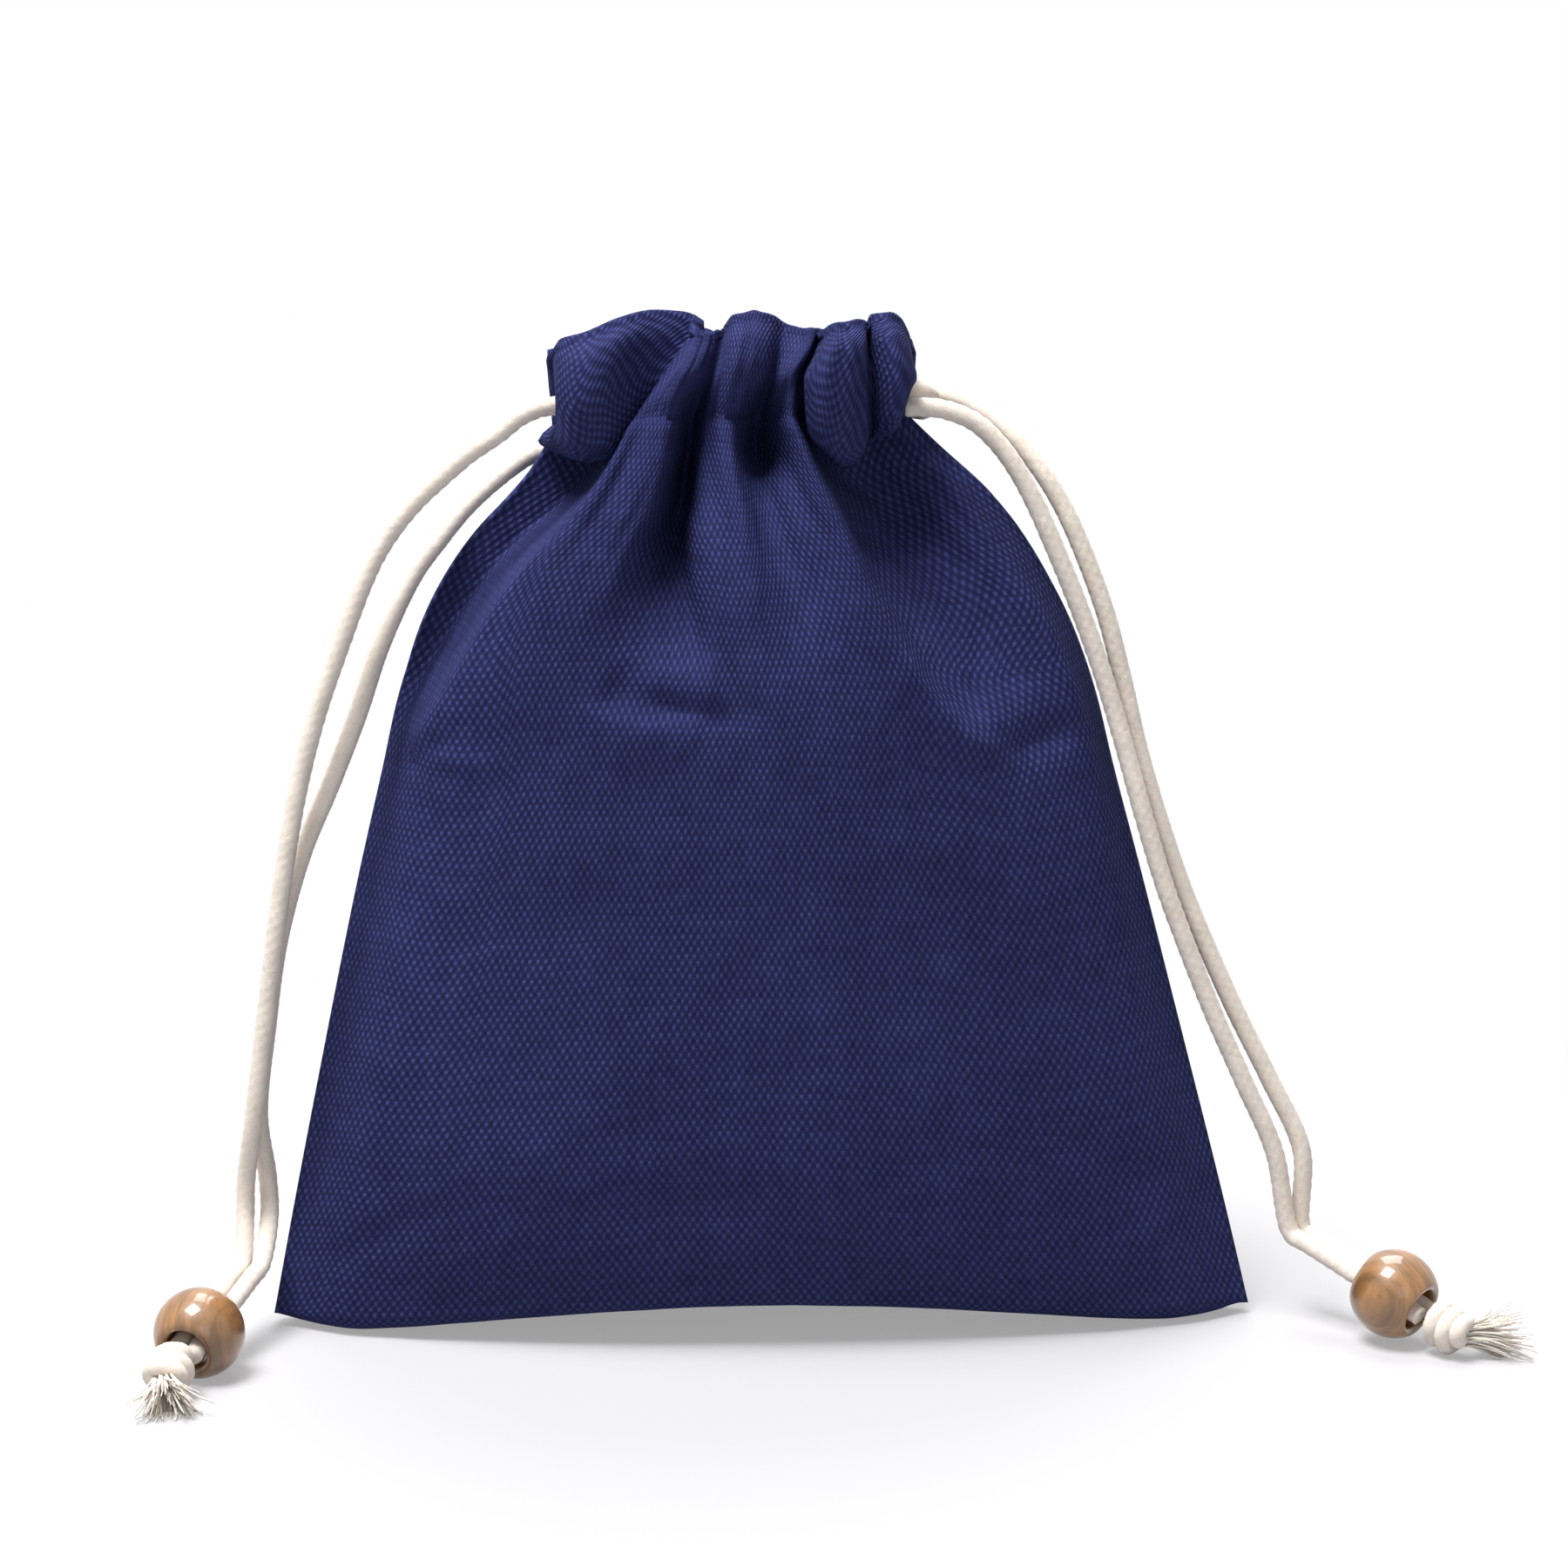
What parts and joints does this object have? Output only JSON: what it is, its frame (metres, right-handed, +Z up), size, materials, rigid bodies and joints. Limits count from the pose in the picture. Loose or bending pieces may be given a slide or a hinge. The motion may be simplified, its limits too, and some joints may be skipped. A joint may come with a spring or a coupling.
{
  "type": "drawstring pouch",
  "caption": "Small flat-sewn cloth pouch with a gathered, cased mouth, closed by a double drawstring whose ends hang down each side to a round wooden bead and a frayed knot.",
  "frame": {"origin": "on the floor, at the bottom centre of the bag's bounding box, without the free cords", "axes": "+X to the right seen from the front, +Y to the back, +Z up; the front of the bag faces -Y"},
  "size_m": [0.1751, 0.0658, 0.1317],
  "materials": {
    "cloth": "coarse plain-woven navy cotton and linen, matt",
    "cord": "round braided natural cotton cord, matt",
    "bead": "turned wood, brown stain under clear gloss lacquer"
  },
  "bodies": {
    "pouch": {"front_panel": "cloth", "back_panel": "cloth", "cord_left_front": "cord", "cord_left_back": "cord", "cord_right_front": "cord", "cord_right_back": "cord", "cord_left_in_casing": "cord", "cord_right_in_casing": "cord", "knot_left": "cord", "knot_right": "cord"},
    "left_slider": {"bead_left": "bead"},
    "right_slider": {"bead_right": "bead"}
  },
  "joints": [
    {"name": "left_bead_slide", "type": "slide", "parent": "pouch", "child": "left_slider", "axis": [0.3203, 0.9109, 0.2602], "range_m": [0, 0.008]},
    {"name": "right_bead_slide", "type": "slide", "parent": "pouch", "child": "right_slider", "axis": [-0.6866, 0.6462, 0.3332], "range_m": [0, 0.008]}
  ]
}
